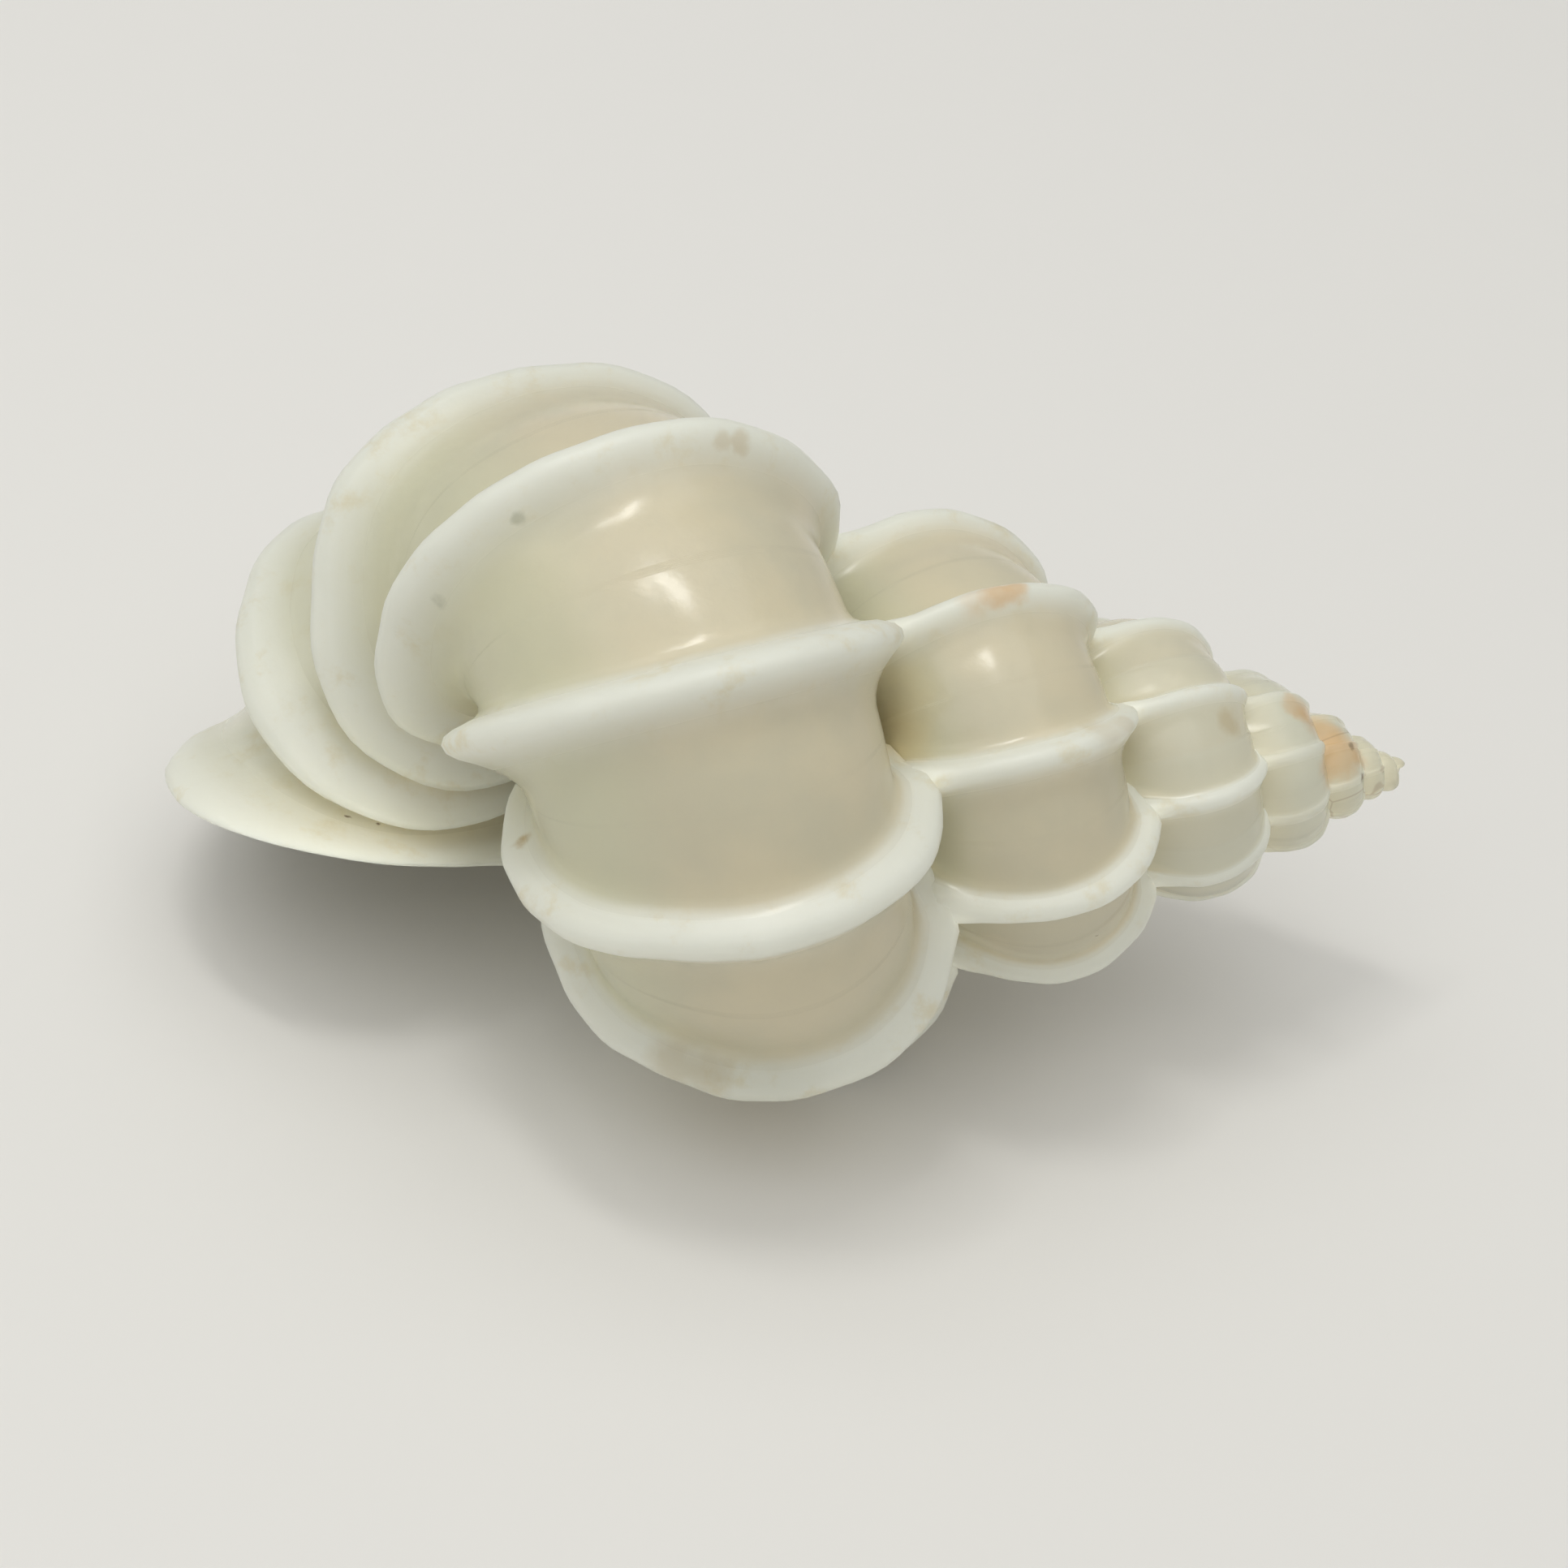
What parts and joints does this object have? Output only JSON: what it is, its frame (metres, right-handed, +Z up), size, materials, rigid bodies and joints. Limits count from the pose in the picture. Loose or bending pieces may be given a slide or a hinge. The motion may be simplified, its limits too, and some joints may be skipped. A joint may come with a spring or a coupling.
{
  "type": "wentletrap shell",
  "caption": "Ivory wentletrap sea shell: a loosely coiled, tapering tube with raised blade-like ribs that join each whorl to the next, and a round open mouth.",
  "frame": {"origin": "on the resting surface, under the middle of the shell's bounding box", "axes": "+X towards the tip of the shell, +Z up from the surface it rests on, -Y towards the side the mouth opens to"},
  "size_m": [0.0554, 0.0344, 0.0304],
  "materials": {
    "shell": "satin, slightly translucent aragonite: ivory-white ribs on a beige tube"
  },
  "bodies": {
    "root": {"shell": "shell"}
  },
  "joints": []
}
